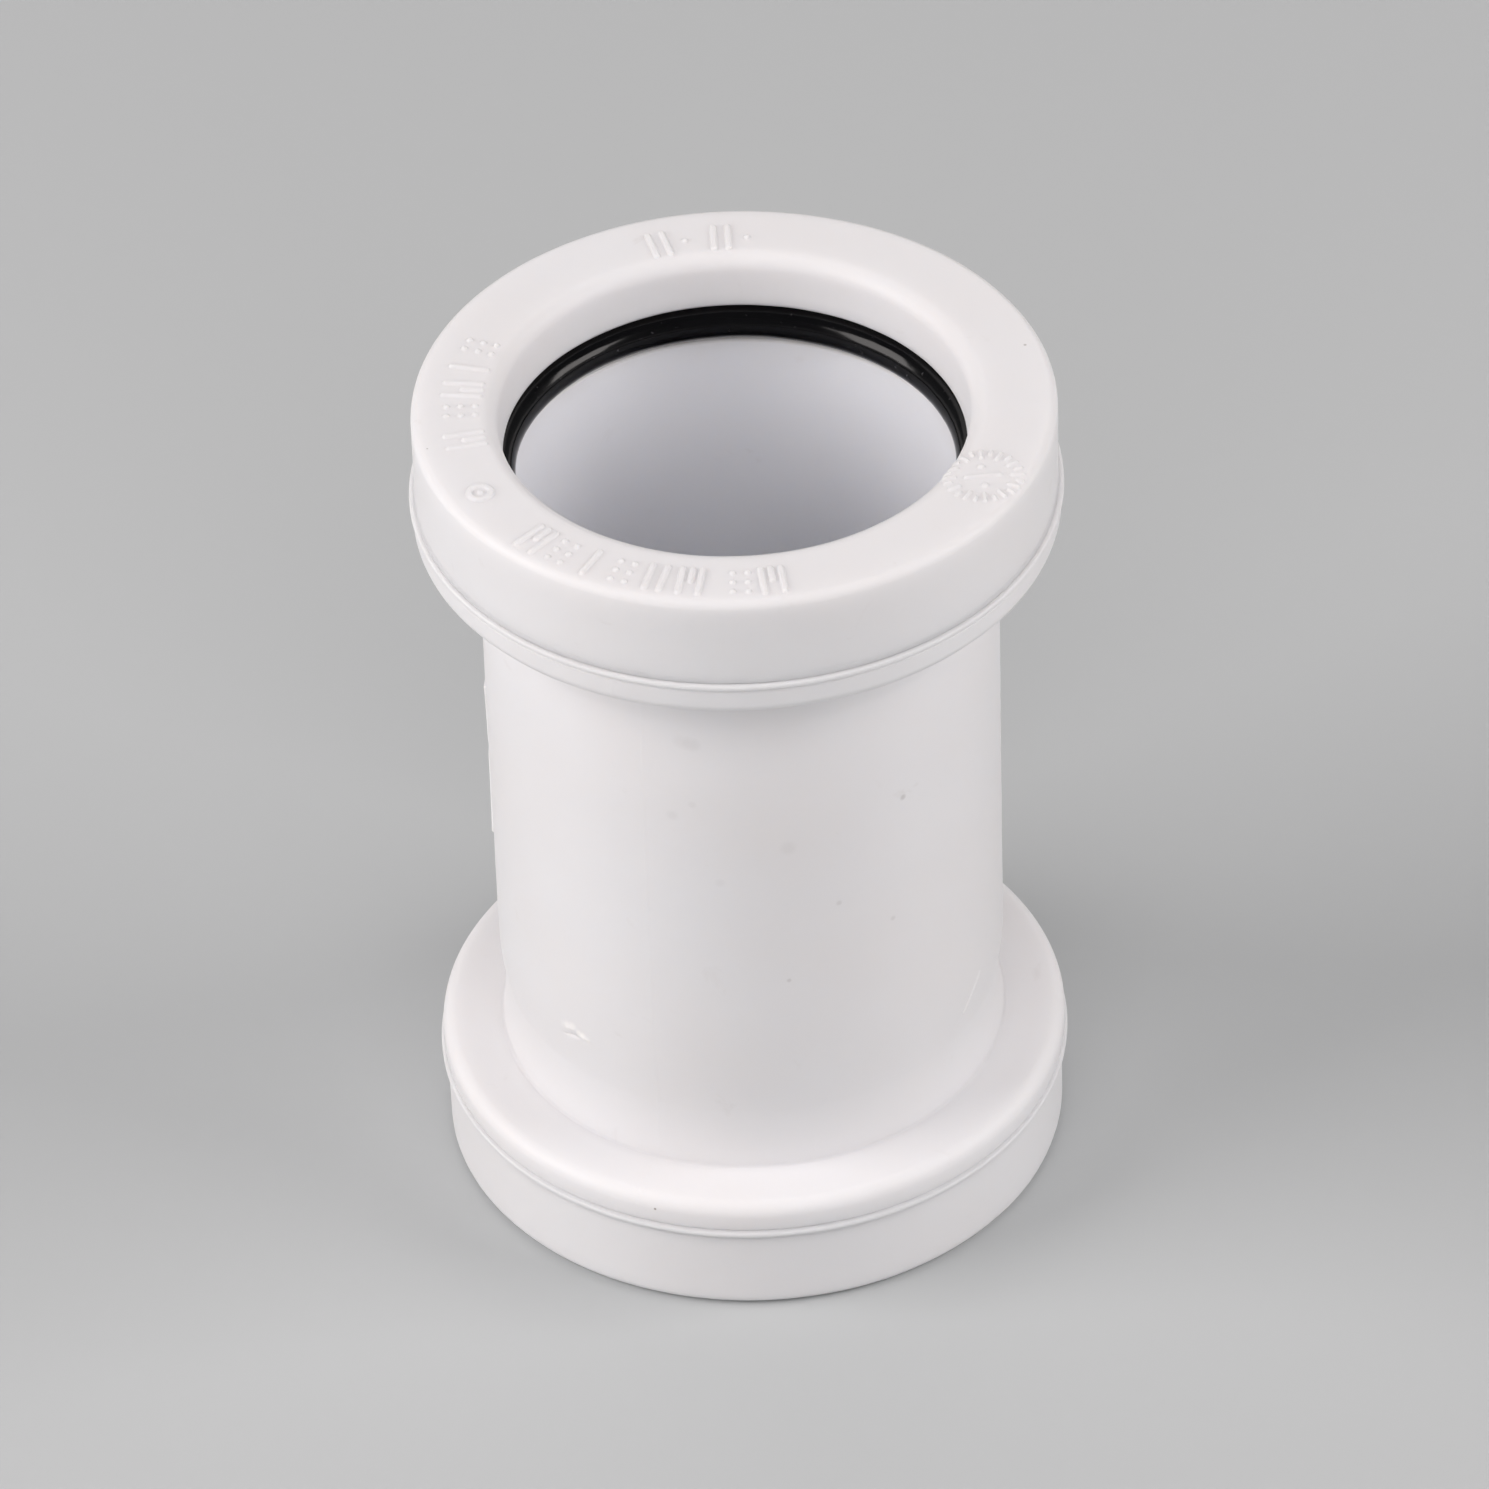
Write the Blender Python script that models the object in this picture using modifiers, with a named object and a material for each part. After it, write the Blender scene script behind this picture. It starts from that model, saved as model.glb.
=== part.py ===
"""Push fit coupling for a 34.6 mm plastic waste pipe: a moulded body with a cup at each end, a rubber
lip seal in each cup, and a retaining cap over each cup. Metres, +Z along the bore, standing on z = 0."""

import math

import bmesh
import bpy

# Along the axis
OVERALL_LENGTH = 0.0718        # end face to end face
CAP_FACE = 0.0023              # thickness of a cap's end wall
SKIRT_DEPTH = 0.0045           # end face to the inner end of the cap's skirt
SEAL_HEIGHT = 0.00265          # seal along the axis
FLOOR_THICKNESS = 0.00297      # cup floor to the shoulder behind it
FLANGE_THICKNESS = 0.0030      # body flange that the cap's rim comes down to
LIP_THICKNESS = 0.0005         # thin lip on the flange, at the seam
NECK_LENGTH = 0.0088           # shoulder to where the neck has widened to the tube
NECK_WAIST = 0.0053            # shoulder to the narrowest ring of the neck
STOP_WIDTH = 0.0024            # pipe stop ring along the axis

# Across the axis, as radii or as wall thicknesses
PIPE_RADIUS = 0.0173           # the pipe that pushes in
BORE_CLEARANCE = 0.00035       # pipe to body bore
MOUTH_CLEARANCE = 0.00025      # body bore to cap mouth
STOP_HEIGHT = 0.00115          # pipe stop ring, in from the bore
BODY_WALL = 0.0026             # tube wall
NECK_DEPTH = 0.0004            # narrowest ring of the neck, in from the tube
SKIRT_WALL = 0.0017            # cap skirt
SEAL_SECTION = 0.0035          # cap mouth to the seal's back
SEAL_REACH = 0.0009            # how far the seal's nose stands in from the cap mouth
SPIGOT_WALL = 0.0014           # upstanding wall of the cup, inside the cap
CAP_WALL = 0.0015              # cap's outer wall
LIP_OVERHANG = 0.00046         # lip, out from the cap
LIP_STEP = 0.00018             # lip, out from the flange behind it

# Edges
MOUTH_ROUND = 0.0017           # cap mouth
CAP_EDGE_ROUND = 0.0007        # cap's outer corner
SHOULDER_ROUND = 0.0013        # outer corner of the shoulder
SMALL_ROUND = 0.0003           # moulded corners
SEAL_ROUND = 0.0004            # back corners of the seal

# Blank raised pad on the tube
PAD_LENGTH = 0.0149            # along the axis
PAD_HEIGHT = 0.0003            # out from the tube
PAD_AZIMUTH = math.radians(150)
PAD_SPAN = math.radians(50)

PART_GAP = 0.0003              # between neighbouring pieces
SEGMENTS = 48                  # around the bore
PAD_SEGMENTS = 8
ARC_STEP = math.radians(45)    # along rounded edges
MERGE = 0.00001

# Radii that follow, from the bore outwards
BORE_RADIUS = PIPE_RADIUS + BORE_CLEARANCE
STOP_RADIUS = BORE_RADIUS - STOP_HEIGHT
TUBE_RADIUS = BORE_RADIUS + BODY_WALL
MOUTH_RADIUS = BORE_RADIUS + MOUTH_CLEARANCE
SKIRT_RADIUS = MOUTH_RADIUS + SKIRT_WALL
SEAL_NOSE_RADIUS = MOUTH_RADIUS - SEAL_REACH
SEAL_BACK_RADIUS = MOUTH_RADIUS + SEAL_SECTION
SPIGOT_INNER_RADIUS = SEAL_BACK_RADIUS + PART_GAP
SPIGOT_RADIUS = SPIGOT_INNER_RADIUS + SPIGOT_WALL
CAP_INNER_RADIUS = SPIGOT_RADIUS + PART_GAP
CAP_RADIUS = CAP_INNER_RADIUS + CAP_WALL
LIP_RADIUS = CAP_RADIUS + LIP_OVERHANG
FLANGE_RADIUS = LIP_RADIUS - LIP_STEP

# Heights that follow: depths from an end face, and heights from the middle of the body
MIDDLE = OVERALL_LENGTH / 2
SEAL_DEPTH = SKIRT_DEPTH + PART_GAP
FLOOR_DEPTH = SEAL_DEPTH + SEAL_HEIGHT + PART_GAP
SHOULDER_DEPTH = FLOOR_DEPTH + FLOOR_THICKNESS
FLANGE_DEPTH = SHOULDER_DEPTH - FLANGE_THICKNESS
RIM_DEPTH = FLANGE_DEPTH - PART_GAP
SPIGOT_DEPTH = CAP_FACE + PART_GAP
WAIST_DEPTH = SHOULDER_DEPTH + NECK_WAIST
NECK_END_DEPTH = SHOULDER_DEPTH + NECK_LENGTH


def clear_scene():
    for obj in list(bpy.data.objects):
        bpy.data.objects.remove(obj, do_unlink=True)


def new_collection(name):
    collection = bpy.data.collections.new(name)
    bpy.context.scene.collection.children.link(collection)
    return collection


def plastic(name, colour, roughness):
    material = bpy.data.materials.new(name)
    material.use_nodes = True
    shader = material.node_tree.nodes["Principled BSDF"]
    shader.inputs["Base Color"].default_value = (*colour, 1.0)
    shader.inputs["Roughness"].default_value = roughness
    shader.inputs["Metallic"].default_value = 0.0
    return material


def rounded(corners):
    """The outline through (radius, height, rounding) corners, with each rounded corner as an arc.
    The first and last corners of an open outline have no rounding."""
    points = []
    count = len(corners)
    for i, (r, z, rounding) in enumerate(corners):
        if rounding == 0:
            points.append((r, z))
            continue
        before = corners[i - 1]
        after = corners[(i + 1) % count]
        a = unit(before[0] - r, before[1] - z)
        b = unit(after[0] - r, after[1] - z)
        half = math.acos(a[0] * b[0] + a[1] * b[1]) / 2
        reach = rounding / math.tan(half)
        middle = unit(a[0] + b[0], a[1] + b[1])
        centre = (r + middle[0] * rounding / math.sin(half), z + middle[1] * rounding / math.sin(half))
        start = math.atan2(z + a[1] * reach - centre[1], r + a[0] * reach - centre[0])
        end = math.atan2(z + b[1] * reach - centre[1], r + b[0] * reach - centre[0])
        turn = (end - start + math.pi) % (2 * math.pi) - math.pi
        points += arc(centre, rounding, start, turn)
    return points


def unit(x, y):
    length = math.hypot(x, y)
    return x / length, y / length


def arc(centre, radius, start, turn):
    steps = max(2, math.ceil(abs(turn) / ARC_STEP))
    angles = [start + turn * i / steps for i in range(steps + 1)]
    return [(centre[0] + radius * math.cos(a), centre[1] + radius * math.sin(a)) for a in angles]


def profile_mesh(name, points, closed):
    """A profile in the XZ plane. It runs down its outer side, so that the turned faces point out."""
    mesh = bpy.data.meshes.new(name)
    bm = bmesh.new()
    verts = [bm.verts.new((r, 0, z)) for r, z in points]
    for a, b in zip(verts, verts[1:]):
        bm.edges.new((a, b))
    if closed:
        bm.edges.new((verts[-1], verts[0]))
    bm.to_mesh(mesh)
    bm.free()
    return mesh


def add_object(name, mesh, collection):
    obj = bpy.data.objects.new(name, mesh)
    collection.objects.link(obj)
    return obj


def add_turned(name, mesh, collection):
    """An object that turns its profile once around the bore."""
    obj = add_object(name, mesh, collection)
    screw = obj.modifiers.new("Turn", "SCREW")
    screw.axis = "Z"
    screw.steps = SEGMENTS
    screw.render_steps = SEGMENTS
    screw.use_merge_vertices = True
    screw.merge_threshold = MERGE
    screw.use_smooth_shade = True
    return obj


def add_pad(collection):
    """A thin curved block that overlaps the tube's wall, for the body to take in."""
    half = PAD_LENGTH / 2
    inner = TUBE_RADIUS - BODY_WALL / 2
    outer = TUBE_RADIUS + PAD_HEIGHT
    outline = [(outer, half), (outer, -half), (inner, -half), (inner, half)]
    mesh = profile_mesh("pad_blank", outline, closed=True)
    bm = bmesh.new()
    bm.from_mesh(mesh)
    bmesh.ops.contextual_create(bm, geom=bm.edges[:])
    bmesh.ops.spin(
        bm,
        geom=bm.faces[:] + bm.edges[:] + bm.verts[:],
        axis=(0, 0, 1),
        cent=(0, 0, 0),
        angle=PAD_SPAN,
        steps=PAD_SEGMENTS,
    )
    bmesh.ops.recalc_face_normals(bm, faces=bm.faces[:])
    bm.to_mesh(mesh)
    bm.free()
    pad = add_object("pad_blank", mesh, collection)
    pad.location.z = MIDDLE
    pad.rotation_euler.z = PAD_AZIMUTH - PAD_SPAN / 2
    pad.hide_render = True
    pad.display_type = "WIRE"
    return pad


def body_profile():
    """The upper half of the body as an open profile, by height above its middle: up the bore, over the
    spigot wall, and down the outside."""
    floor = MIDDLE - FLOOR_DEPTH
    shoulder = MIDDLE - SHOULDER_DEPTH
    flange = MIDDLE - FLANGE_DEPTH
    spigot = MIDDLE - SPIGOT_DEPTH
    stop = STOP_WIDTH / 2
    return rounded([
        (STOP_RADIUS, 0, 0),
        (STOP_RADIUS, stop, 0),
        (BORE_RADIUS, stop + STOP_HEIGHT / 2, 0),
        (BORE_RADIUS, floor, SMALL_ROUND),
        (SPIGOT_INNER_RADIUS, floor, 0),
        (SPIGOT_INNER_RADIUS, spigot, 0),
        (SPIGOT_RADIUS, spigot, SMALL_ROUND),
        (SPIGOT_RADIUS, flange, 0),
        (LIP_RADIUS, flange, 0),
        (LIP_RADIUS, flange - LIP_THICKNESS, 0),
        (FLANGE_RADIUS, flange - LIP_THICKNESS, 0),
        (FLANGE_RADIUS, shoulder, SHOULDER_ROUND),
        (TUBE_RADIUS, shoulder, 0),
        (TUBE_RADIUS - NECK_DEPTH, MIDDLE - WAIST_DEPTH, 0),
        (TUBE_RADIUS, MIDDLE - NECK_END_DEPTH, 0),
        (TUBE_RADIUS, 0, 0),
    ])


def add_body(collection, cutters, material):
    mesh = profile_mesh("body", body_profile(), closed=False)
    mesh.materials.append(material)
    body = add_turned("body", mesh, collection)
    body.location.z = MIDDLE
    mirror = body.modifiers.new("Lower half", "MIRROR")
    mirror.use_axis = (False, False, True)
    mirror.use_clip = False
    mirror.merge_threshold = MERGE
    union = body.modifiers.new("Pad", "BOOLEAN")
    union.operation = "UNION"
    union.solver = "EXACT"
    union.object = add_pad(cutters)


def cap_profile():
    """A retaining cap as a closed profile, with its end face at height 0 and the cup below."""
    return rounded([
        (MOUTH_RADIUS, 0, MOUTH_ROUND),
        (CAP_RADIUS, 0, CAP_EDGE_ROUND),
        (CAP_RADIUS, -RIM_DEPTH, 0),
        (CAP_INNER_RADIUS, -RIM_DEPTH, 0),
        (CAP_INNER_RADIUS, -CAP_FACE, 0),
        (SKIRT_RADIUS, -CAP_FACE, 0),
        (SKIRT_RADIUS, -SKIRT_DEPTH, SMALL_ROUND),
        (MOUTH_RADIUS, -SKIRT_DEPTH, 0),
    ])


def seal_profile():
    """A lip seal as a closed profile: a square back in the cup, and a round nose that meets the pipe."""
    top = -SEAL_DEPTH
    bottom = top - SEAL_HEIGHT
    nose = SEAL_HEIGHT / 2
    back = rounded([
        (SEAL_NOSE_RADIUS + nose, top, 0),
        (SEAL_BACK_RADIUS, top, SEAL_ROUND),
        (SEAL_BACK_RADIUS, bottom, SEAL_ROUND),
        (SEAL_NOSE_RADIUS + nose, bottom, 0),
    ])
    centre = (SEAL_NOSE_RADIUS + nose, (top + bottom) / 2)
    return back + arc(centre, nose, -math.pi / 2, -math.pi)[1:-1]


def add_end_pair(name, points, collection, material):
    """The same moulding at both ends: upright at the top face, turned over at the bottom face."""
    mesh = profile_mesh(name, points, closed=True)
    mesh.materials.append(material)
    top = add_turned("top_" + name, mesh, collection)
    top.location.z = OVERALL_LENGTH
    bottom = add_turned("bottom_" + name, mesh, collection)
    bottom.rotation_euler.x = math.pi


def main():
    clear_scene()
    parts = new_collection("push_fit_coupling")
    cutters = new_collection("cutters")
    white = plastic("white_polypropylene", (0.80, 0.78, 0.79), 0.32)
    black = plastic("black_rubber", (0.012, 0.012, 0.013), 0.28)
    add_body(parts, cutters, white)
    add_end_pair("retaining_cap", cap_profile(), parts, white)
    add_end_pair("lip_seal", seal_profile(), parts, black)


main()
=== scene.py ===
"""Looks of the push fit coupling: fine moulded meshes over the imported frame, in white polypropylene and
black rubber, on a pale studio floor. Metres, +Z along the bore. Outlines are (radius, depth from an end
face), and become (radius, height) when a piece is turned."""

import math

import bmesh
import bpy
import numpy as np
from mathutils import Matrix, Vector


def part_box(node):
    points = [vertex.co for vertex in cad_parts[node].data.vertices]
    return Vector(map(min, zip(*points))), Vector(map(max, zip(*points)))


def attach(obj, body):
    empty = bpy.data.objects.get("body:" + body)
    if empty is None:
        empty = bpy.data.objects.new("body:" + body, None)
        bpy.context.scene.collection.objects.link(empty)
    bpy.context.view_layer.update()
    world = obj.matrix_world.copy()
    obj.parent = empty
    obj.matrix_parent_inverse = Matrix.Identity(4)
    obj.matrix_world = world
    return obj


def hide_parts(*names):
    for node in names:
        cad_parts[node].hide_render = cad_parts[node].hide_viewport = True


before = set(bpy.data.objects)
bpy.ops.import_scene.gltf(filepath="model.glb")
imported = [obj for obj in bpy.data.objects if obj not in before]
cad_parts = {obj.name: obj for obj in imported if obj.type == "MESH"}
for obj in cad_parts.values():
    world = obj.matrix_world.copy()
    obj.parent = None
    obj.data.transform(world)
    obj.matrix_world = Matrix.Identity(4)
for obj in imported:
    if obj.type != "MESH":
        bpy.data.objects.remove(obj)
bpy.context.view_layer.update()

MM = 0.001

# ---------------------------------------------------------------- sizes that the frame gives
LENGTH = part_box("top_retaining_cap")[1][2]
CAP_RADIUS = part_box("top_retaining_cap")[1][0]
LIP_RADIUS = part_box("body")[1][0]
SEAL_BACK_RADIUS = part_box("top_lip_seal")[1][0]
SEAL_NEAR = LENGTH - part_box("top_lip_seal")[1][2]       # depth of the seal's outer face
SEAL_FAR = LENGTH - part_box("top_lip_seal")[0][2]        # depth of the seal's inner face
SPIGOT_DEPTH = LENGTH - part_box("body")[1][2]
MIDDLE = LENGTH / 2

# ---------------------------------------------------------------- sizes of the fine shape
BORE_RADIUS = 17.65 * MM
BORE_MOUTH_RADIUS = 17.85 * MM
STOP_RADIUS = 16.5 * MM
STOP_WIDTH = 2.4 * MM
STOP_SLOPE = 0.5 * MM          # how far the stop's side leans out along the bore
TUBE_RADIUS = 20.24 * MM
SPIGOT_INNER_RADIUS = 21.7 * MM
SPIGOT_OUTER_RADIUS = 23.1 * MM
CAP_INNER_RADIUS = 23.4 * MM
MOUTH_RADIUS = 17.9 * MM       # at the skirt's end
MOUTH_TAPER = 0.45 * MM        # how much wider the mouth is at the cap's face
SKIRT_RADIUS = 19.6 * MM
SEAL_NOSE_RADIUS = 17.0 * MM
SHOULDER_RADIUS = 25.14 * MM

CAP_FACE = 2.3 * MM
SKIRT_DEPTH = 4.5 * MM
FLOOR_DEPTH = 7.75 * MM
RIM_DEPTH = 7.65 * MM          # the cap's rim, a hair short of the body's flange
RIM_FLARE = 0.14 * MM          # how far the rim widens at its end
FLANGE_DEPTH = 7.68 * MM
LIP_THICKNESS = 0.46 * MM
LIP_GROOVE = 0.24 * MM         # how deep the groove behind the lip goes into the shoulder
SHOULDER_DEPTH = 10.72 * MM

# Neck: the tube narrows to a waist near each collar, and flares again to the shoulder
WAIST_DEPTH = 16.2 * MM
WAIST_INSET = 0.40 * MM
FLARE_POWER = 2.3              # how late, on the way to the shoulder, the tube flares
NECK_END_DEPTH = 19.8 * MM     # where the narrowing starts, at the tube's sides
NECK_SPREAD = 8.0 * MM         # how much nearer the middle it starts at the front and back
NECK_ROW = 0.3 * MM            # height of one row of faces

# Roundings
MOUTH_ROUND = 1.4 * MM
CAP_EDGE_ROUND = 0.7 * MM
RIM_FLARE_ROUND = 0.5 * MM     # where the cap's wall starts to flare
SHOULDER_ROUND = 1.1 * MM
SHOULDER_FOOT_ROUND = 0.24 * MM
GROOVE_ROUND = 0.15 * MM
SHARP_ROUND = 0.06 * MM        # the groove's bottom and the cap's rim
SMALL_ROUND = 0.2 * MM
CORNER_ROUND = 0.25 * MM
EASED_ROUND = 0.3 * MM         # the skirt's tip and the foot of the pipe stop
SEAL_BACK_ROUND = 0.35 * MM

# Moulded detail on the tube. Azimuths are in degrees
RING_HEIGHT = 36.5 * MM        # faint sunk ring round the middle of the tube
RING_SINK = 0.05 * MM
RING_WIDTH = 0.55 * MM
PAD_AZIMUTHS = (126.0, 176.5)
PAD_BELOW_MIDDLE = 0.25 * MM
PAD_LENGTH = 15.1 * MM
PAD_HEIGHT = 0.26 * MM
PAD_RAMP = 0.22 * MM           # width of the slope at the pad's edge
PAD_HOLLOW = 2.2               # degrees that the pad's front edge curves back
PARTING_AZIMUTHS = (-113.2, 66.8)
PARTING_HEIGHT = 0.022 * MM
PARTING_WIDTH = 0.07 * MM
SKIN_BELOW = 0.8 * MM          # what counts as the tube's outside, from its radius
SKIN_ABOVE = 0.3 * MM

# Damage low on the tube. The scuff's bumps are (across, up, slope, half width, half height, rise), all in
# mm but for the slope
SCUFF_AZIMUTH = -134.6
SCUFF_HEIGHT = 20.5 * MM
SCUFF_BUMPS = {
    "flap": (-0.7, 0.2, 0.2, 0.6, 0.3, 0.22),
    "tail": (0.85, -0.05, -0.15, 0.5, 0.2, 0.2),
    "nick": (-0.45, -0.65, 0.25, 0.8, 0.14, -0.2),
}
SCRATCH = ((-27.0, 20.8), (-34.0, 18.3))       # azimuth and height in mm of its two ends
SCRATCH_HEIGHT = 0.12 * MM
SCRATCH_WIDTH = 0.1 * MM

# Raised marks on the caps' faces
MARK_HEIGHT = 0.2 * MM
MARK_STROKE = 0.42 * MM
MARK_RAMP = 0.15 * MM          # width of the slope at a stroke's edge
MARK_TALL = 2.8 * MM
MARK_WIDE = 1.9 * MM
DIAL_FROM_AXIS = 21.44 * MM
DIAL_AZIMUTH = -28.98
DIAL_RADIUS = 3.05 * MM
DIAL_TICKS = 24
DIAL_TICK_WIDTH = 0.24 * MM
DIAL_POINTER_WIDTH = 0.32 * MM
DIAL_POINTER_TURN = 0.6        # radians from straight outwards
DIAL_DOT = 0.48 * MM

# Mesh
COLUMNS = 360
ARC_STEP = math.radians(9)
BODY_STEP = 1.1 * MM           # longest step along each piece's outline
CAP_STEP = 0.55 * MM
SEAL_STEP = 0.4 * MM
SHARP_ANGLE = math.radians(60)

# How near to a detail the faces are cut finer, and the number of cuts
PAD_NEAR = 0.75 * MM
PAD_CUTS = 5
PARTING_NEAR = 0.8             # degrees
PARTING_CUTS = 3
SCUFF_NEAR = (6.5, 1.8 * MM)   # degrees round the tube, and metres up and down
SCRATCH_NEAR = 0.7 * MM
DAMAGE_CUTS = 7
MARK_NEAR = 0.42 * MM
MARK_CUTS = 5

# Waviness: (height, pitch) in mm of a long and a short layer
BODY_WAVES = ((0.012, 11), (0.004, 3.5))
CAP_WAVES = ((0.01, 9), (0.003, 2.5))
SEAL_WAVES = ((0.02, 8), (0.004, 1.6))


# ---------------------------------------------------------------- outlines
def unit(x, y):
    length = math.hypot(x, y)
    return x / length, y / length


def rounded(corners):
    """The closed outline through (radius, depth, rounding) corners, with each rounded corner as an arc."""
    points = []
    count = len(corners)
    for i, (r, d, rounding) in enumerate(corners):
        if rounding == 0:
            points.append((r, d))
            continue
        before = corners[i - 1]
        after = corners[(i + 1) % count]
        a = unit(before[0] - r, before[1] - d)
        b = unit(after[0] - r, after[1] - d)
        half = math.acos(max(-1, min(1, a[0] * b[0] + a[1] * b[1]))) / 2
        reach = rounding / math.tan(half)
        middle = unit(a[0] + b[0], a[1] + b[1])
        centre = (r + middle[0] * rounding / math.sin(half), d + middle[1] * rounding / math.sin(half))
        start = math.atan2(d + a[1] * reach - centre[1], r + a[0] * reach - centre[0])
        end = math.atan2(d + b[1] * reach - centre[1], r + b[0] * reach - centre[0])
        turn = (end - start + math.pi) % (2 * math.pi) - math.pi
        steps = max(3, math.ceil(abs(turn) / ARC_STEP))
        for k in range(steps + 1):
            angle = start + turn * k / steps
            points.append((centre[0] + rounding * math.cos(angle), centre[1] + rounding * math.sin(angle)))
    return points


def divided(points, longest):
    """The same closed outline with no step longer than longest."""
    out = []
    for i, (r, d) in enumerate(points):
        r2, d2 = points[(i + 1) % len(points)]
        steps = max(1, math.ceil(math.hypot(r2 - r, d2 - d) / longest))
        out += [(r + (r2 - r) * k / steps, d + (d2 - d) * k / steps) for k in range(steps)]
    return out


def body_half():
    """Half of the body, from the middle of the tube's outside round the cup to the middle of the stop."""
    stop = STOP_WIDTH / 2
    lip_back = FLANGE_DEPTH + LIP_THICKNESS
    lip_round = LIP_THICKNESS * 0.45
    neck_rows = [(TUBE_RADIUS, d, 0) for d in np.arange(NECK_END_DEPTH, SHOULDER_DEPTH + MM / 2, -NECK_ROW)]
    corners = [
        (TUBE_RADIUS, MIDDLE, 0),
        *neck_rows,
        (TUBE_RADIUS, SHOULDER_DEPTH, SHOULDER_FOOT_ROUND),
        (SHOULDER_RADIUS, SHOULDER_DEPTH, SHOULDER_ROUND),
        (SHOULDER_RADIUS, lip_back + LIP_GROOVE * 1.3, GROOVE_ROUND),
        (SHOULDER_RADIUS - LIP_GROOVE, lip_back + 0.04 * MM, SHARP_ROUND),
        (LIP_RADIUS, lip_back, lip_round),
        (LIP_RADIUS, FLANGE_DEPTH, lip_round),
        (SPIGOT_OUTER_RADIUS, FLANGE_DEPTH, 0),
        (SPIGOT_OUTER_RADIUS, SPIGOT_DEPTH, SMALL_ROUND),
        (SPIGOT_INNER_RADIUS, SPIGOT_DEPTH, SMALL_ROUND),
        (SPIGOT_INNER_RADIUS, FLOOR_DEPTH, SMALL_ROUND),
        (BORE_MOUTH_RADIUS, FLOOR_DEPTH, CORNER_ROUND),
        (BORE_RADIUS, MIDDLE - stop - STOP_SLOPE, EASED_ROUND),
        (STOP_RADIUS, MIDDLE - stop, SMALL_ROUND),
        (STOP_RADIUS, MIDDLE, 0),
    ]
    return rounded(corners)


def body_outline():
    """The whole body as (radius, height): the lower half, then the upper half on the way back."""
    half = body_half()
    upper = [(r, LENGTH - d) for r, d in reversed(half)]
    return half + upper[1:-1]


def cap_outline(face):
    """A retaining cap. face is the depth of its end face, so that a cap can stand on its raised marks."""
    return rounded([
        (MOUTH_RADIUS + MOUTH_TAPER, face, MOUTH_ROUND),
        (CAP_RADIUS, face, CAP_EDGE_ROUND),
        (CAP_RADIUS, RIM_DEPTH - RIM_FLARE * 3, RIM_FLARE_ROUND),
        (CAP_RADIUS + RIM_FLARE, RIM_DEPTH, SHARP_ROUND),
        (CAP_INNER_RADIUS, RIM_DEPTH, 0),
        (CAP_INNER_RADIUS, CAP_FACE, SMALL_ROUND),
        (SKIRT_RADIUS, CAP_FACE, SMALL_ROUND),
        (SKIRT_RADIUS, SKIRT_DEPTH, CORNER_ROUND),
        (MOUTH_RADIUS, SKIRT_DEPTH, EASED_ROUND),
    ])


def seal_outline():
    """A lip seal: a square back, and a round nose that stands in from the cap's mouth."""
    nose_round = (SEAL_FAR - SEAL_NEAR) / 2 * 0.98
    return rounded([
        (SEAL_NOSE_RADIUS, SEAL_NEAR, nose_round),
        (SEAL_BACK_RADIUS, SEAL_NEAR, SEAL_BACK_ROUND),
        (SEAL_BACK_RADIUS, SEAL_FAR, SEAL_BACK_ROUND),
        (SEAL_NOSE_RADIUS, SEAL_FAR, nose_round),
    ])


# ---------------------------------------------------------------- meshes
def turned(name, outline, longest):
    """A closed outline of (radius, height) turned about Z, as a bmesh."""
    points = np.array(divided(outline, longest))
    azimuths = np.linspace(0, 2 * math.pi, COLUMNS, endpoint=False)
    rows = len(points)
    x = points[None, :, 0] * np.cos(azimuths)[:, None]
    y = points[None, :, 0] * np.sin(azimuths)[:, None]
    z = np.broadcast_to(points[None, :, 1], x.shape)
    coords = np.stack([x, y, z], axis=2).reshape(-1, 3)
    faces = []
    for c in range(COLUMNS):
        here = c * rows
        there = (c + 1) % COLUMNS * rows
        for i in range(rows):
            j = (i + 1) % rows
            faces.append((here + i, there + i, there + j, here + j))
    mesh = bpy.data.meshes.new(name)
    mesh.from_pydata(coords.tolist(), [], faces)
    bm = bmesh.new()
    bm.from_mesh(mesh)
    bpy.data.meshes.remove(mesh)
    bmesh.ops.recalc_face_normals(bm, faces=bm.faces)
    return bm


def polar(coords):
    """Azimuth in degrees, radius and height of each point."""
    azimuth = np.degrees(np.arctan2(coords[:, 1], coords[:, 0]))
    return azimuth, np.hypot(coords[:, 0], coords[:, 1]), coords[:, 2]


def refine(bm, near, cuts):
    """Cuts up the faces that near() picks, from their centres and normals."""
    centres = np.array([f.calc_center_median() for f in bm.faces])
    normals = np.array([f.normal for f in bm.faces])
    picked = near(centres, normals)
    edges = {e for f, hit in zip(bm.faces[:], picked) if hit for e in f.edges}
    if edges:
        bmesh.ops.subdivide_edges(bm, edges=list(edges), cuts=cuts, use_grid_fill=True)


def finish_piece(bm, name, relief):
    """Turns the bmesh into an object after relief() has moved its points."""
    bm.normal_update()
    coords = np.array([v.co for v in bm.verts])
    normals = np.array([v.normal for v in bm.verts])
    moved = relief(coords, normals)
    for v, co in zip(bm.verts, moved):
        v.co = co
    mesh = bpy.data.meshes.new(name)
    bm.to_mesh(mesh)
    bm.free()
    mesh.shade_smooth()
    mesh.set_sharp_from_angle(angle=SHARP_ANGLE)
    piece = bpy.data.objects.new(name, mesh)
    bpy.context.scene.collection.objects.link(piece)
    return piece


def step(x):
    """Smooth rise from 0 to 1."""
    x = np.clip(x, 0, 1)
    return x * x * (3 - 2 * x)


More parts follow.
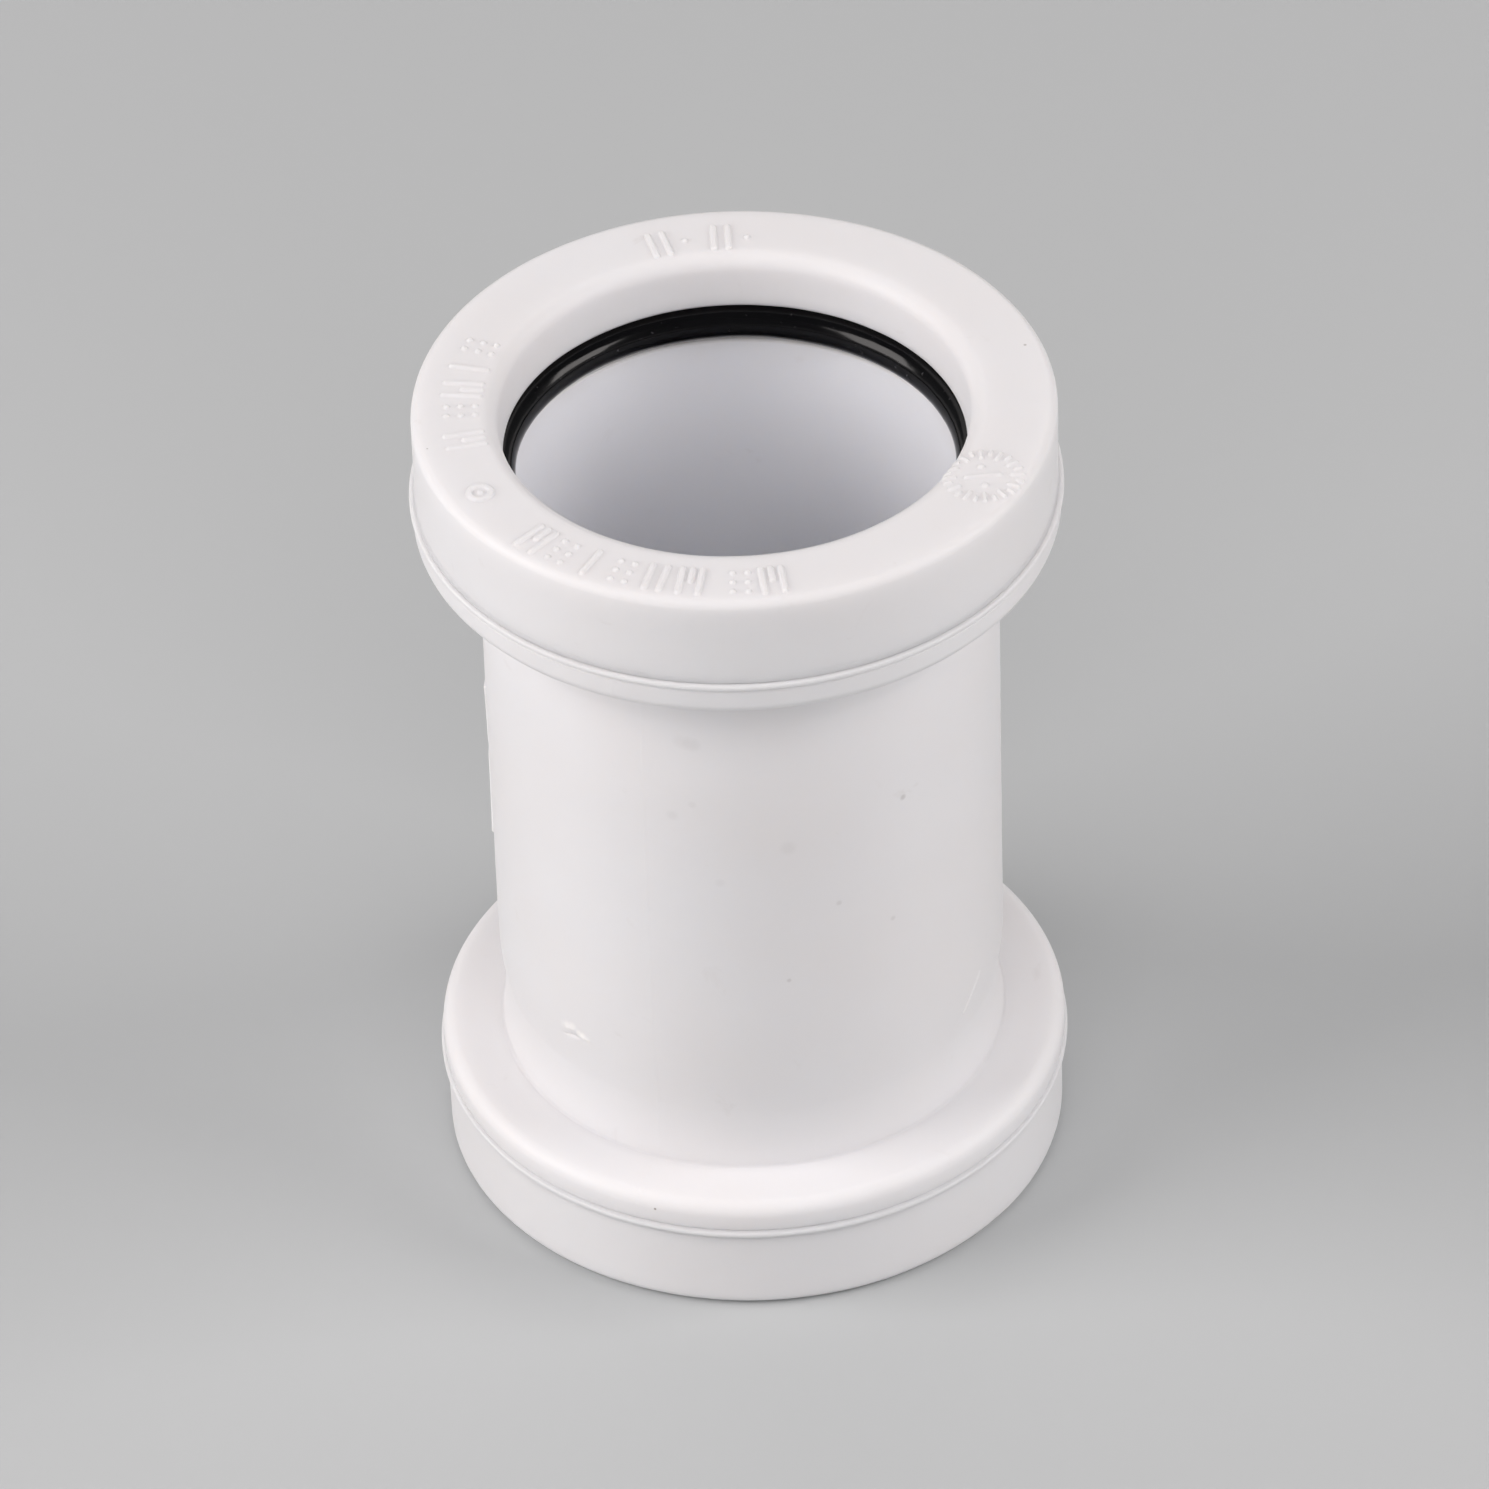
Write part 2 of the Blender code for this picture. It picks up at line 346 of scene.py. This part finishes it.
def waves(coords, pitch, seed):
    """Smooth random relief between about -1 and 1, with features of the given pitch."""
    rng = np.random.default_rng(seed)
    total = np.zeros(len(coords))
    for _ in range(9):
        direction = rng.normal(size=3)
        direction *= 2 * math.pi / (pitch * rng.uniform(0.7, 1.6) * np.linalg.norm(direction))
        total += np.sin(coords @ direction + rng.uniform(0, 2 * math.pi))
    return total / 3


def waviness(coords, layers, seeds):
    """The sum of the layers, each with its own seed."""
    return sum(height * MM * waves(coords, pitch * MM, seed) for (height, pitch), seed in zip(layers, seeds))


def turn_between(azimuth, centre):
    """Signed difference in degrees, from -180 to 180."""
    return (azimuth - centre + 180) % 360 - 180


# ---------------------------------------------------------------- raised marks on a cap's face
def mark_strokes(kind):
    """Strokes of one plain geometric mark, as pairs of (across, outward) points within its cell."""
    w = MARK_WIDE / 2
    h = MARK_TALL / 2
    ring = [(w * 0.9 * math.cos(a), w * 0.9 * math.sin(a)) for a in np.linspace(0, 2 * math.pi, 17)]
    lines = {
        "target": [ring, [(0, 0), (0, 0)]],
        "bar": [[(0, -h), (0, h)]],
        "pair": [[(-w * 0.6, -h), (-w * 0.6, h)], [(w * 0.6, -h), (w * 0.6, h)]],
        "scale": [[(-w * 0.8, -h), (-w * 0.8, h)], [(0, -h), (0, 0)], [(w * 0.8, -h), (w * 0.8, h)]],
        "dots": [[(a * w * 0.6, b * h * 0.8)] * 2 for a in (-1, 1) for b in (-1, 0, 1)],
        "dot": [[(0, 0), (0, 0)]],
    }[kind]
    return [(a, b) for line in lines for a, b in zip(line, line[1:])]


# Each group of marks: radius in mm, then (azimuth, kind)
MARKS = [
    (21.0, [(105.0, "pair"), (99.4, "dot"), (91.6, "pair"), (86.0, "dot")]),
    (21.0, [(-169.5, "scale"), (-179.6, "dots"), (173.0, "scale"), (165.6, "bar"), (158.0, "dots")]),
    (22.3, [(-83.6, "scale"), (-89.9, "dots"), (-99.6, "scale"), (-106.4, "pair"), (-113.2, "dots")]),
    (22.3, [(-120.0, "bar"), (-126.6, "dots"), (-133.2, "scale")]),
    (22.1, [(-152.0, "target")]),
]


def outward_and_across(azimuth):
    """The two directions of a mark's cell on the cap's face: away from the axis, and round it."""
    a = math.radians(azimuth)
    return np.array((math.cos(a), math.sin(a))), np.array((-math.sin(a), math.cos(a)))


def dial_strokes():
    """A dial with bare ticks, long and short by turns, and a pointer between two dots."""
    out, across = outward_and_across(DIAL_AZIMUTH)
    middle = out * DIAL_FROM_AXIS
    strokes = []
    for k in range(DIAL_TICKS):
        b = 2 * math.pi * k / DIAL_TICKS
        direction = out * math.cos(b) + across * math.sin(b)
        inner = DIAL_RADIUS * (0.72 if k % 2 == 0 else 0.86)
        strokes.append((middle + direction * inner, middle + direction * DIAL_RADIUS, DIAL_TICK_WIDTH / 2))
    pointer = out * math.cos(DIAL_POINTER_TURN) + across * math.sin(DIAL_POINTER_TURN)
    reach = pointer * DIAL_RADIUS * 0.42
    strokes.append((middle - reach, middle + reach, DIAL_POINTER_WIDTH / 2))
    side = np.array((-pointer[1], pointer[0]))
    for s in (-1, 1):
        spot = middle + side * DIAL_RADIUS * 0.38 * s
        strokes.append((spot, spot, DIAL_DOT / 2))
    return strokes


def all_strokes():
    """Every stroke on a cap's face as (start, end, half width), in the XY plane."""
    strokes = []
    for radius, marks in MARKS:
        for azimuth, kind in marks:
            out, across = outward_and_across(azimuth)
            middle = out * radius * MM
            for p, q in mark_strokes(kind):
                start = middle + across * p[0] + out * p[1]
                end = middle + across * q[0] + out * q[1]
                strokes.append((start, end, MARK_STROKE / 2))
    return strokes + dial_strokes()


STROKES = all_strokes()


def mark_distance(xy):
    """Distance from each point to the edge of the nearest stroke, negative inside it."""
    nearest = np.full(len(xy), 1.0)
    for start, end, half in STROKES:
        along = end - start
        length = along @ along
        t = np.clip((xy - start) @ along / length, 0, 1) if length > 0 else np.zeros(len(xy))
        gap = np.linalg.norm(xy - start - t[:, None] * along, axis=1) - half
        nearest = np.minimum(nearest, gap)
    return nearest


# ---------------------------------------------------------------- relief on the tube
def on_tube(radius):
    return (radius > TUBE_RADIUS - SKIN_BELOW) & (radius < TUBE_RADIUS + SKIN_ABOVE)


def hump(distance, width):
    """A smooth bump, 1 at distance 0."""
    return np.exp(-(distance / width) ** 2)


def neck(azimuth, height):
    """How far the tube's outside stands in near a collar: sharply at its two sides, gently elsewhere."""
    depth = np.minimum(height, LENGTH - height)
    end = NECK_END_DEPTH + NECK_SPREAD * np.sin(np.radians(azimuth)) ** 2
    above = np.clip((depth - WAIST_DEPTH) / (end - WAIST_DEPTH), 0, 1)
    below = np.clip((WAIST_DEPTH - depth) / (WAIST_DEPTH - SHOULDER_DEPTH), 0, 1)
    return -WAIST_INSET * (1 - above) ** 2 * (1 - below ** FLARE_POWER)


def inside_pad(azimuth, height):
    """How far inside the pad's outline each point is, in metres."""
    half = PAD_LENGTH / 2
    up = height - (MIDDLE - PAD_BELOW_MIDDLE)
    front = PAD_AZIMUTHS[1] - PAD_HOLLOW * (1 - (up / half) ** 2)
    middle = (PAD_AZIMUTHS[0] + front) / 2
    across = (front - PAD_AZIMUTHS[0]) / 2 - np.abs(turn_between(azimuth, middle))
    return np.minimum(half - np.abs(up), np.radians(across) * TUBE_RADIUS)


def scuff(azimuth, height):
    """A small torn scuff: a raised flap and its tail, with a nick below."""
    across = np.radians(turn_between(azimuth, SCUFF_AZIMUTH)) * TUBE_RADIUS
    up = height - SCUFF_HEIGHT
    total = 0
    for at, level, slope, half_width, half_height, rise in SCUFF_BUMPS.values():
        sideways = hump(across - at * MM, half_width * MM)
        total += rise * MM * sideways * hump(up - level * MM - slope * across, half_height * MM)
    return total


def scratch_gap(azimuth, height):
    """Distance over the tube's face from the scratch."""
    start, end = [np.array((np.radians(a) * TUBE_RADIUS, z * MM)) for a, z in SCRATCH]
    here = np.stack([np.radians(azimuth) * TUBE_RADIUS, height], axis=1)
    along = end - start
    t = (here - start) @ along / (along @ along)
    return np.linalg.norm(here - start - np.clip(t, 0, 1)[:, None] * along, axis=1)


def scratch(azimuth, height):
    """A thin raised burr along the scratch."""
    return SCRATCH_HEIGHT * hump(scratch_gap(azimuth, height), SCRATCH_WIDTH)


def parting_lines(azimuth, radius):
    """The faint raised line that the mould's halves leave down each side."""
    total = 0
    for parting in PARTING_AZIMUTHS:
        off = np.radians(turn_between(azimuth, parting)) * radius
        total += PARTING_HEIGHT * hump(off, PARTING_WIDTH)
    return total


# ---------------------------------------------------------------- the five pieces
def build_body():
    """The body, cut finer where it has fine relief."""
    bm = turned("body_moulding", body_outline(), BODY_STEP)

    def near_pad(centres, normals):
        azimuth, radius, height = polar(centres)
        return on_tube(radius) & (np.abs(inside_pad(azimuth, height)) < PAD_NEAR)

    def near_parting(centres, normals):
        azimuth, radius, height = polar(centres)
        off = np.min([np.abs(turn_between(azimuth, p)) for p in PARTING_AZIMUTHS], axis=0)
        outside = (radius > TUBE_RADIUS - SKIN_BELOW) & (radius < LIP_RADIUS + MM)
        clear = np.minimum(height, LENGTH - height) > FLANGE_DEPTH
        return (off < PARTING_NEAR) & outside & clear

    def near_scuff(centres, normals):
        azimuth, radius, height = polar(centres)
        across = np.abs(turn_between(azimuth, SCUFF_AZIMUTH))
        up = np.abs(height - SCUFF_HEIGHT)
        return on_tube(radius) & (across < SCUFF_NEAR[0]) & (up < SCUFF_NEAR[1])

    def near_scratch(centres, normals):
        azimuth, radius, height = polar(centres)
        return on_tube(radius) & (scratch_gap(azimuth, height) < SCRATCH_NEAR)

    refine(bm, near_pad, PAD_CUTS)
    refine(bm, near_parting, PARTING_CUTS)
    refine(bm, near_scuff, DAMAGE_CUTS)
    refine(bm, near_scratch, DAMAGE_CUTS)

    def relief(coords, normals):
        azimuth, radius, height = polar(coords)
        depth = np.minimum(height, LENGTH - height)
        straight = on_tube(radius) & (depth > NECK_END_DEPTH)
        outside = (radius > TUBE_RADIUS - SKIN_BELOW) & (depth > FLANGE_DEPTH + LIP_THICKNESS)
        pad = PAD_HEIGHT * step(inside_pad(azimuth, height) / PAD_RAMP + 0.5)
        lift = np.where(straight, -RING_SINK * hump(height - RING_HEIGHT, RING_WIDTH), 0)
        lift += np.where(outside, parting_lines(azimuth, radius), 0)
        lift += np.where(on_tube(radius), pad + neck(azimuth, height), 0)
        lift += np.where(on_tube(radius), scuff(azimuth, height) + scratch(azimuth, height), 0)
        lift += waviness(coords, BODY_WAVES, (5, 6))
        return coords + normals * lift[:, None]

    return finish_piece(bm, "body_moulding", relief)


def build_cap(name, top):
    """A retaining cap with its raised marks. The lower one stands on them."""
    face = 0 if top else MARK_HEIGHT
    outline = cap_outline(face)
    if top:
        outline = [(r, LENGTH - d) for r, d in outline]
    bm = turned(name, outline, CAP_STEP)
    face_height = LENGTH if top else face
    flip = 1 if top else -1

    def as_seen(coords):
        """The marks' plane seen from outside: the lower cap is the same moulding turned about X."""
        return coords[:, :2] * (1, flip)

    def near_marks(centres, normals):
        facing = normals[:, 2] * flip > 0.35
        close = np.abs(centres[:, 2] - face_height) < 1.2 * MM
        return facing & close & (mark_distance(as_seen(centres)) < MARK_NEAR)

    refine(bm, near_marks, MARK_CUTS)

    def relief(coords, normals):
        on_face = np.abs(coords[:, 2] - face_height) < 1.4 * MM
        facing = step((normals[:, 2] * flip - 0.2) / 0.3) * on_face
        raised = MARK_HEIGHT * step(0.5 - mark_distance(as_seen(coords)) / MARK_RAMP) * facing
        moved = coords.copy()
        moved[:, 2] += raised * flip
        lift = waviness(coords, CAP_WAVES, (11 + flip, 14 + flip))
        moved += normals * lift[:, None]
        return moved

    return finish_piece(bm, name, relief)


def build_seal(name, top):
    """A lip seal, with the slight unevenness of soft rubber."""
    outline = seal_outline()
    if top:
        outline = [(r, LENGTH - d) for r, d in outline]
    bm = turned(name, outline, SEAL_STEP)

    def relief(coords, normals):
        lift = waviness(coords, SEAL_WAVES, (21 + top, 23 + top))
        return coords + normals * lift[:, None]

    return finish_piece(bm, name, relief)


# ---------------------------------------------------------------- materials
def new_material(name):
    material = bpy.data.materials.new(name)
    material.use_nodes = True
    return material, material.node_tree, material.node_tree.nodes["Principled BSDF"]


def put(tree, kind, inputs=None, **settings):
    """A node with its settings, and with each input, by name or number, either linked or set."""
    node = tree.nodes.new(kind)
    for key, value in settings.items():
        setattr(node, key, value)
    for key, value in (inputs or {}).items():
        if isinstance(value, bpy.types.NodeSocket):
            tree.links.new(value, node.inputs[key])
        else:
            node.inputs[key].default_value = value
    return node


def noise(tree, coords, scale, detail=2.0, roughness=0.5, distortion=0.0):
    values = {"Vector": coords, "Scale": scale, "Detail": detail}
    values.update({"Roughness": roughness, "Distortion": distortion})
    return put(tree, "ShaderNodeTexNoise", values).outputs["Fac"]


def ranged(tree, value, low, high, out_low, out_high):
    """The value with low to high mapped onto out_low to out_high, and clamped."""
    values = {"Value": value, "From Min": low, "From Max": high, "To Min": out_low, "To Max": out_high}
    return put(tree, "ShaderNodeMapRange", values).outputs["Result"]


def blended(tree, factor, first, second):
    """A colour mix, first at factor 0 and second at factor 1."""
    return put(tree, "ShaderNodeMix", {0: factor, 6: first, 7: second}, data_type="RGBA").outputs[2]


def calculated(tree, operation, first, second):
    """A sum on two values, such as MULTIPLY or MAXIMUM."""
    return put(tree, "ShaderNodeMath", {0: first, 1: second}, operation=operation).outputs[0]


def bumped(tree, height, distance, below=None):
    """A bumped normal, on top of the bumped normal below."""
    values = {"Height": height, "Distance": distance, "Strength": 1.0}
    if below is not None:
        values["Normal"] = below
    return put(tree, "ShaderNodeBump", values).outputs["Normal"]


# Placed specks and smudges: azimuth in degrees, then radius, height and size in mm, and strength
SPOTS = [
    (14.4, 23.4, 71.8, 0.16, 0.5),
    (-109.4, 25.1, 9.7, 0.14, 0.8),
    (96.8, 17.6, 47.8, 0.13, 0.7),
    (104.7, 17.6, 50.8, 0.1, 0.4),
    (-53.4, 20.2, 45.1, 0.34, 0.28),
    (-70.1, 20.2, 36.9, 0.3, 0.14),
    (-56.8, 20.2, 33.4, 0.3, 0.14),
    (-82.0, 20.2, 30.0, 0.24, 0.2),
    (-104.4, 20.2, 54.0, 0.8, 0.05),
    (-103.0, 20.2, 53.9, 0.8, 0.08),
    (-101.6, 20.2, 53.8, 0.8, 0.08),
    (-81.4, 20.2, 43.5, 0.8, 0.06),
    (-106.7, 20.2, 46.7, 0.6, 0.06),
    (-102.1, 20.2, 48.0, 0.4, 0.06),
    (-96.5, 20.2, 40.3, 0.5, 0.05),
    (-42.8, 24.9, 8.45, 0.14, 0.7),
    (-55.4, 24.9, 8.5, 0.14, 0.6),
]
# The scuff's torn plastic, whiter than the rest, and a painted shadow under its flap
TORN = [
    (-138.2, 20.3, 20.4, 0.45, 0.4),
    (-136.9, 20.3, 20.65, 0.5, 0.6),
    (-135.4, 20.3, 20.85, 0.5, 0.6),
    (-133.6, 20.3, 20.5, 0.4, 0.7),
    (-132.4, 20.3, 20.4, 0.45, 0.8),
    (-131.1, 20.3, 20.25, 0.4, 0.7),
]
# Painted shadow: dark spots along the underside of the scuff's flap
FLAP_SHADOW = [
    (-138.0, 20.3, 19.5, 0.3, 0.1),
    (-136.9, 20.3, 19.65, 0.32, 0.2),
    (-135.8, 20.3, 19.85, 0.34, 0.24),
    (-134.7, 20.3, 20.05, 0.3, 0.16),
    (-132.9, 20.3, 19.95, 0.24, 0.1),
]


def spots(tree, coords, places):
    """How strongly the placed spots show, from 0 to 1: the specks and smudges, the torn plastic, and the
    painted shadow under the scuff's flap.
    """
    total = 0.0
    for azimuth, radius, height, size, strength in places:
        a = math.radians(azimuth)
        place = (radius * math.cos(a) * MM, radius * math.sin(a) * MM, height * MM)
        gap = put(tree, "ShaderNodeVectorMath", {0: coords, 1: place}, operation="DISTANCE").outputs["Value"]
        shown = ranged(tree, gap, size * MM * 0.4, size * MM, strength, 0)
        total = calculated(tree, "MAXIMUM", total, shown)
    return total


def painted_bounce_mask(tree, coords):
    """1 on the bore's surface, where a cool bounce light is painted into the colour, and 0 further out."""
    place = put(tree, "ShaderNodeSeparateXYZ", {0: coords}).outputs
    flat = put(tree, "ShaderNodeCombineXYZ", {0: place["X"], 1: place["Y"]}).outputs[0]
    radius = put(tree, "ShaderNodeVectorMath", {0: flat}, operation="LENGTH").outputs["Value"]
    return ranged(tree, radius, BORE_MOUTH_RADIUS - 0.01 * MM, BORE_MOUTH_RADIUS + 0.03 * MM, 1, 0)


def black_specks(tree, coords):
    """A speck in a few of the cells of a cell pattern."""
    cells = put(tree, "ShaderNodeTexVoronoi", {"Vector": coords, "Scale": 170.0})
    near = ranged(tree, cells.outputs["Distance"], 0.012, 0.022, 1, 0)
    rare = put(tree, "ShaderNodeSeparateColor", {"Color": cells.outputs["Color"]}).outputs["Red"]
    return calculated(tree, "MULTIPLY", near, ranged(tree, rare, 0.86, 0.88, 0, 0.75))


def polypropylene():
    """Satin white moulded polypropylene: a little light passes under the skin."""
    material, tree, shader = new_material("white_polypropylene_moulded")
    coords = put(tree, "ShaderNodeTexCoord").outputs["Object"]
    white = (0.785, 0.78, 0.797, 1)
    warm = (0.77, 0.757, 0.762, 1)
    cool = (0.79, 0.795, 0.815, 1)
    # Painted light: a lighter, cooler white for the light that bounces about inside the bore
    painted_bounce_blue = (0.84, 0.852, 0.893, 1)
    dirt = (0.52, 0.48, 0.45, 1)
    soot = (0.12, 0.1, 0.09, 1)
    grime = (0.2, 0.17, 0.15, 1)
    torn = (0.9, 0.885, 0.87, 1)
    # Painted shadow colour, for under the scuff's flap
    shade = (0.2, 0.18, 0.17, 1)
    colour = blended(tree, ranged(tree, noise(tree, coords, 55, 2), 0.35, 0.65, 0, 1), warm, cool)
    colour = blended(tree, 0.55, colour, white)
    # Painted light: the bore's inside takes the lighter, cooler white of its bounced light
    colour = blended(tree, painted_bounce_mask(tree, coords), colour, painted_bounce_blue)
    smudges = ranged(tree, noise(tree, coords, 210, 5, 0.6, 0.6), 0.66, 0.8, 0, 0.22)
    colour = blended(tree, smudges, colour, dirt)
    colour = blended(tree, black_specks(tree, coords), colour, soot)
    colour = blended(tree, spots(tree, coords, SPOTS), colour, grime)
    colour = blended(tree, spots(tree, coords, TORN), colour, torn)
    # Painted shadow: the dark line under the scuff's flap
    colour = blended(tree, spots(tree, coords, FLAP_SHADOW), colour, shade)
    tree.links.new(colour, shader.inputs["Base Color"])
    gloss = ranged(tree, noise(tree, coords, 130, 4, 0.6), 0.3, 0.7, 0.42, 0.52)
    tree.links.new(gloss, shader.inputs["Roughness"])
    peel = bumped(tree, noise(tree, coords, 420, 2), 0.010 * MM)
    grain = bumped(tree, noise(tree, coords, 3600, 3, 0.6), 0.0022 * MM, peel)
    tree.links.new(grain, shader.inputs["Normal"])
    shader.inputs["Subsurface Weight"].default_value = 0.7
    shader.inputs["Subsurface Radius"].default_value = (1.0, 0.95, 0.9)
    shader.inputs["Subsurface Scale"].default_value = 2.4 * MM
    shader.inputs["IOR"].default_value = 1.49
    shader.inputs["Specular IOR Level"].default_value = 0.32
    return material


def rubber():
    """Smooth black rubber with a film of lubricant."""
    material, tree, shader = new_material("black_rubber_moulded")
    coords = put(tree, "ShaderNodeTexCoord").outputs["Object"]
    black = (0.0015, 0.0015, 0.002, 1)
    worn = (0.004, 0.004, 0.0045, 1)
    grey = (0.09, 0.09, 0.095, 1)
    colour = blended(tree, noise(tree, coords, 260, 3), black, worn)
    dust = ranged(tree, noise(tree, coords, 2600, 2), 0.7, 0.76, 0, 0.5)
    colour = blended(tree, dust, colour, grey)
    tree.links.new(colour, shader.inputs["Base Color"])
    gloss = ranged(tree, noise(tree, coords, 500, 4), 0.3, 0.7, 0.11, 0.19)
    tree.links.new(gloss, shader.inputs["Roughness"])
    skin = bumped(tree, noise(tree, coords, 900, 3), 0.006 * MM)
    tree.links.new(skin, shader.inputs["Normal"])
    shader.inputs["Specular IOR Level"].default_value = 0.24
    return material


def floor_finish():
    """A pale matt floor, very slightly cloudy."""
    material, tree, shader = new_material("studio_floor")
    coords = put(tree, "ShaderNodeTexCoord").outputs["Object"]
    dim = (0.48, 0.5, 0.51, 1)
    pale = (0.51, 0.53, 0.54, 1)
    colour = blended(tree, noise(tree, coords, 3, 2), dim, pale)
    tree.links.new(colour, shader.inputs["Base Color"])
    shader.inputs["Roughness"].default_value = 0.55
    return material


# ---------------------------------------------------------------- stage, lights and camera
FLOOR_RINGS = (0.2, 0.6, 1.3)   # radii of the flat floor's rings, in metres
SWEEP_RADIUS = 0.7
SWEEP_STEPS = 16
WALL_HEIGHT = 2.6
STAGE_COLUMNS = 96

CAMERA_ELEVATION = math.radians(39.725)
CAMERA_ROLL = math.radians(-1.917)
CAMERA_DISTANCE = 790.8 * MM
CAMERA_OFFSET = (-1.015 * MM, 28.77 * MM)      # across and up in the picture, from the origin
CAMERA_LENS = 234.3                            # in mm, on a sensor 36 mm wide
CAMERA_SENSOR = 36


def build_stage():
    """A pale floor that sweeps up into a round wall, so that every side has the same backdrop."""
    flat = FLOOR_RINGS[-1]
    outline = [(r, 0.0) for r in FLOOR_RINGS]
    for k in range(1, SWEEP_STEPS + 1):
        a = math.pi / 2 * k / SWEEP_STEPS
        outline.append((flat + SWEEP_RADIUS * math.sin(a), SWEEP_RADIUS * (1 - math.cos(a))))
    outline.append((flat + SWEEP_RADIUS, WALL_HEIGHT))
    bm = bmesh.new()
    centre = bm.verts.new((0, 0, 0))
    rings = []
    for r, z in outline:
        ring = []
        for c in range(STAGE_COLUMNS):
            a = 2 * math.pi * c / STAGE_COLUMNS
            ring.append(bm.verts.new((r * math.cos(a), r * math.sin(a), z)))
        rings.append(ring)
    for c in range(STAGE_COLUMNS):
        n = (c + 1) % STAGE_COLUMNS
        bm.faces.new((centre, rings[0][c], rings[0][n]))
        for a, b in zip(rings, rings[1:]):
            bm.faces.new((a[c], b[c], b[n], a[n]))
    mesh = bpy.data.meshes.new("studio_floor")
    bm.to_mesh(mesh)
    bm.free()
    mesh.shade_smooth()
    mesh.materials.append(floor_finish())
    floor = bpy.data.objects.new("studio_floor", mesh)
    bpy.context.scene.collection.objects.link(floor)


def softbox(name, place, size, watts, colour, mirrored=True):
    """A soft light aimed at the coupling, size in metres. With mirrored off, it leaves no highlight."""
    light = bpy.data.lights.new(name, "AREA")
    light.shape = "RECTANGLE"
    light.size, light.size_y = size
    light.energy = watts
    light.color = colour
    box = bpy.data.objects.new(name, light)
    box.location = place
    aim = Vector((0, 0, MIDDLE)) - Vector(place)
    box.rotation_euler = aim.to_track_quat("-Z", "Y").to_euler()
    box.visible_camera = False
    box.visible_glossy = mirrored
    bpy.context.scene.collection.objects.link(box)


def around(azimuth, elevation, distance):
    """A place at this distance from the middle of the coupling."""
    a, e = math.radians(azimuth), math.radians(elevation)
    level = distance * math.cos(e)
    return (level * math.cos(a), level * math.sin(a), MIDDLE + distance * math.sin(e))


def build_lights():
    """Two side lights, a high front light without highlights, a weak back light and faint cool air."""
    warm = (1.0, 0.95, 0.93)
    softbox("left_softbox", around(192, 31, 0.95), (0.6, 0.6), 6.9, warm)
    softbox("right_softbox", around(-8, 31, 0.95), (0.55, 0.45), 4.75, warm)
    softbox("front_softbox", around(-90, 43, 1.5), (1.5, 1.2), 10.8, warm, mirrored=False)
    softbox("back_softbox", around(95, 38, 1.5), (1.5, 1.0), 3.5, warm)
    world = bpy.data.worlds.new("studio_air")
    world.use_nodes = True
    world.node_tree.nodes["Background"].inputs["Color"].default_value = (0.9, 0.94, 1.0, 1)
    world.node_tree.nodes["Background"].inputs["Strength"].default_value = 0.1
    bpy.context.scene.world = world
    bpy.context.scene.view_settings.view_transform = "Standard"


def build_camera():
    """A long lens that looks down on the coupling, turned a little about its own axis."""
    back = Vector((0, -math.cos(CAMERA_ELEVATION), math.sin(CAMERA_ELEVATION)))
    level = Vector((1, 0, 0))
    upright = back.cross(level)
    side = level * math.cos(CAMERA_ROLL) + upright * math.sin(CAMERA_ROLL)
    up = upright * math.cos(CAMERA_ROLL) - level * math.sin(CAMERA_ROLL)
    place = side * CAMERA_OFFSET[0] + up * CAMERA_OFFSET[1] + back * CAMERA_DISTANCE
    camera = bpy.data.cameras.new("camera")
    camera.sensor_width = CAMERA_SENSOR
    camera.lens = CAMERA_LENS
    camera.clip_end = 20
    holder = bpy.data.objects.new("camera", camera)
    turn = Matrix((side, up, back)).transposed().to_4x4()
    holder.matrix_world = Matrix.Translation(place) @ turn
    bpy.context.scene.collection.objects.link(holder)
    bpy.context.scene.camera = holder


def main():
    build_camera()
    build_stage()
    build_lights()
    white = polypropylene()
    black = rubber()
    pieces = [
        (build_body(), "body", white),
        (build_cap("top_cap_moulding", True), "top_retaining_cap", white),
        (build_cap("bottom_cap_moulding", False), "bottom_retaining_cap", white),
        (build_seal("top_seal_ring", True), "top_lip_seal", black),
        (build_seal("bottom_seal_ring", False), "bottom_lip_seal", black),
    ]
    for piece, node, material in pieces:
        piece.data.materials.append(material)
        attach(piece, "root")
        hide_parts(node)


main()
